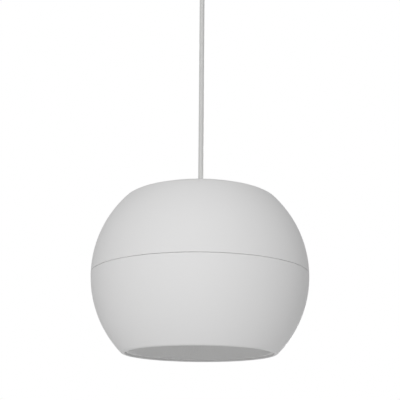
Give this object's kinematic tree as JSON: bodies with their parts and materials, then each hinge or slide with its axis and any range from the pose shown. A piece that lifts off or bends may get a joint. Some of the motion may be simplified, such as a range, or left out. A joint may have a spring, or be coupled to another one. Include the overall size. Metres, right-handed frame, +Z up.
{
  "type": "pendant loudspeaker",
  "caption": "Round ball loudspeaker with a flat grilled mouth facing down, hung on a straight cord from a cup-shaped ceiling fitting.",
  "frame": {"origin": "middle of the ceiling strap's top face, where the fitting meets the ceiling", "axes": "+Z up, out of the ceiling face and along the cord; the side seen in the picture faces -Y"},
  "size_m": [0.26, 0.26, 0.523],
  "materials": {
    "white_shell": "fine satin moulding",
    "white_nylon": "satin nylon",
    "grille_paint": "white powder coat",
    "cord_sheath": "soft satin sheath",
    "natural_nylon": "natural nylon",
    "zinc_steel": "zinc plated",
    "plated_steel": "passivated",
    "copper": "drawn copper",
    "ferrite": "ground ceramic",
    "cone_paper": "pressed pulp",
    "surround_rubber": "matt",
    "spider_cloth": "resin-set weave",
    "ring_card": "pressed card",
    "gasket_foam": "closed foam",
    "phenolic_board": "paper laminate",
    "lamination": "stacked sheet",
    "winding_tape": "polyester tape",
    "brown_core": "brown insulation",
    "blue_core": "blue insulation"
  },
  "bodies": {
    "housing": {"ceiling_bracket": "zinc_steel", "ceiling_cup": "white_shell", "cup_screw_left": "zinc_steel", "cup_screw_right": "zinc_steel", "ceiling_terminal": "natural_nylon", "ceiling_terminal_screw": "zinc_steel", "strand_bail": "zinc_steel", "strand_loop": "zinc_steel", "loop_ferrule": "copper", "cord_grip": "white_nylon", "cord_grip_screw": "zinc_steel", "cord_grip_nut": "white_nylon", "ceiling_core_a": "brown_core", "ceiling_core_b": "blue_core", "cord": "cord_sheath", "cord_gland": "white_nylon", "gland_nut": "white_nylon", "cord_stop": "copper", "upper_shell": "white_shell", "lower_shell": "white_shell", "grille": "grille_paint", "basket": "zinc_steel", "driver_gasket": "gasket_foam", "driver_screw_1": "zinc_steel", "driver_screw_2": "zinc_steel", "driver_screw_3": "zinc_steel", "driver_screw_4": "zinc_steel", "top_plate": "plated_steel", "magnet": "ferrite", "yoke": "plated_steel", "surround": "surround_rubber", "rim_ring": "ring_card", "spider": "spider_cloth", "tag_board": "phenolic_board", "tag_a": "plated_steel", "tag_b": "plated_steel", "tinsel_lead_a": "copper", "tinsel_lead_b": "copper", "transformer_core": "lamination", "transformer_winding": "winding_tape", "transformer_strap": "plated_steel", "transformer_screw_a": "zinc_steel", "transformer_screw_b": "zinc_steel", "terminal_block": "natural_nylon", "terminal_screw_a": "zinc_steel", "terminal_screw_b": "zinc_steel", "core_a": "brown_core", "core_b": "blue_core", "primary_lead_a": "brown_core", "primary_lead_b": "blue_core", "driver_lead_a": "brown_core", "driver_lead_b": "blue_core"},
    "cone": {"cone": "cone_paper", "dust_cap": "cone_paper", "voice_coil": "copper"}
  },
  "joints": [
    {"name": "cone_travel", "type": "slide", "parent": "housing", "child": "cone", "axis": [0, 0, 1], "range_m": [-0.003, 0.003], "stiffness_N_per_m": 2500, "deforming": ["surround", "spider", "tinsel_lead_a", "tinsel_lead_b"]}
  ]
}
